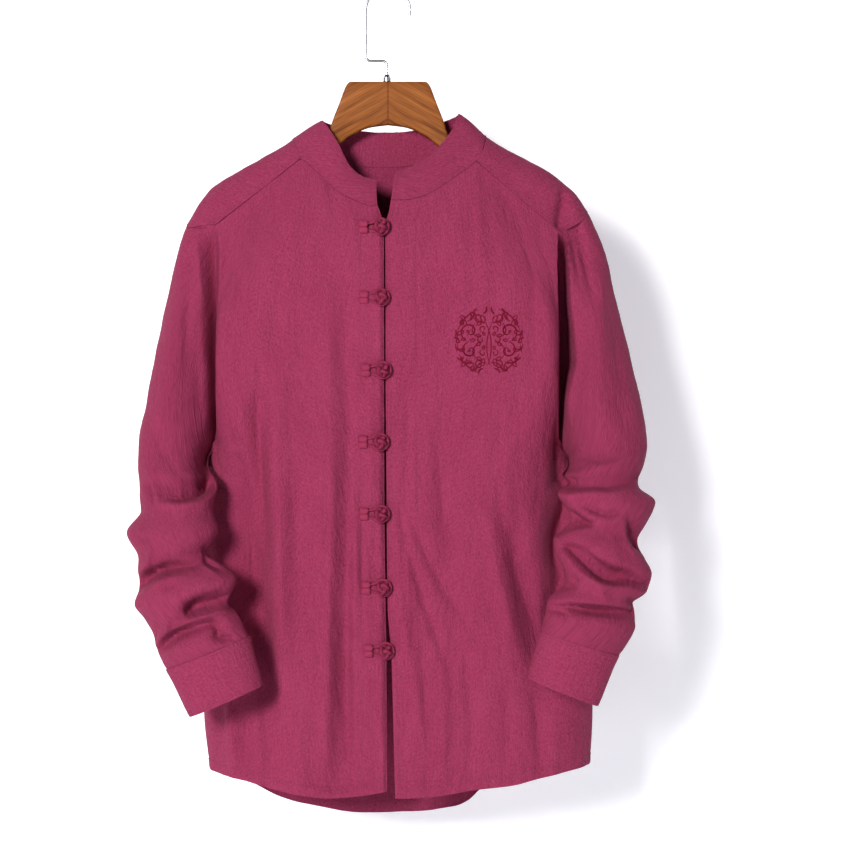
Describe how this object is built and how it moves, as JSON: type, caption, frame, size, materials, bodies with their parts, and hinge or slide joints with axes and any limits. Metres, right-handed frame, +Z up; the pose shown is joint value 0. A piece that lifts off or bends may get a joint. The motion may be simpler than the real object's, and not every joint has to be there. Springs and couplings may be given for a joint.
{
  "type": "stand-collar shirt with knot fastenings on a wooden hanger",
  "caption": "Long-sleeved stand-collar cloth shirt with cord knots and loops down the front, hung on a contoured wooden hanger with a wire hook.",
  "frame": {"origin": "inside top of the hanger's hook, where a rail carries it", "axes": "+Z up, +X toward the viewer's right as seen from the front, -Y out of the garment's front"},
  "size_m": [0.5756, 0.1857, 0.935],
  "materials": {
    "berry_cloth": "matte slubbed cotton and linen cloth",
    "berry_cord": "twisted cloth cord",
    "hanger_wood": "satin varnish",
    "hook_steel": "bright steel wire"
  },
  "bodies": {
    "root": {"right_front": "berry_cloth", "left_front": "berry_cloth", "back": "berry_cloth", "yoke": "berry_cloth", "collar": "berry_cloth", "right_sleeve": "berry_cloth", "left_sleeve": "berry_cloth", "right_cuff": "berry_cloth", "left_cuff": "berry_cloth", "knot_1": "berry_cord", "knot_2": "berry_cord", "knot_3": "berry_cord", "knot_4": "berry_cord", "knot_5": "berry_cord", "knot_6": "berry_cord", "knot_7": "berry_cord", "loop_1": "berry_cord", "loop_2": "berry_cord", "loop_3": "berry_cord", "loop_4": "berry_cord", "loop_5": "berry_cord", "loop_6": "berry_cord", "loop_7": "berry_cord", "hanger_wood": "hanger_wood", "hanger_hook": "hook_steel", "hanger_ferrule": "hook_steel"}
  },
  "joints": []
}
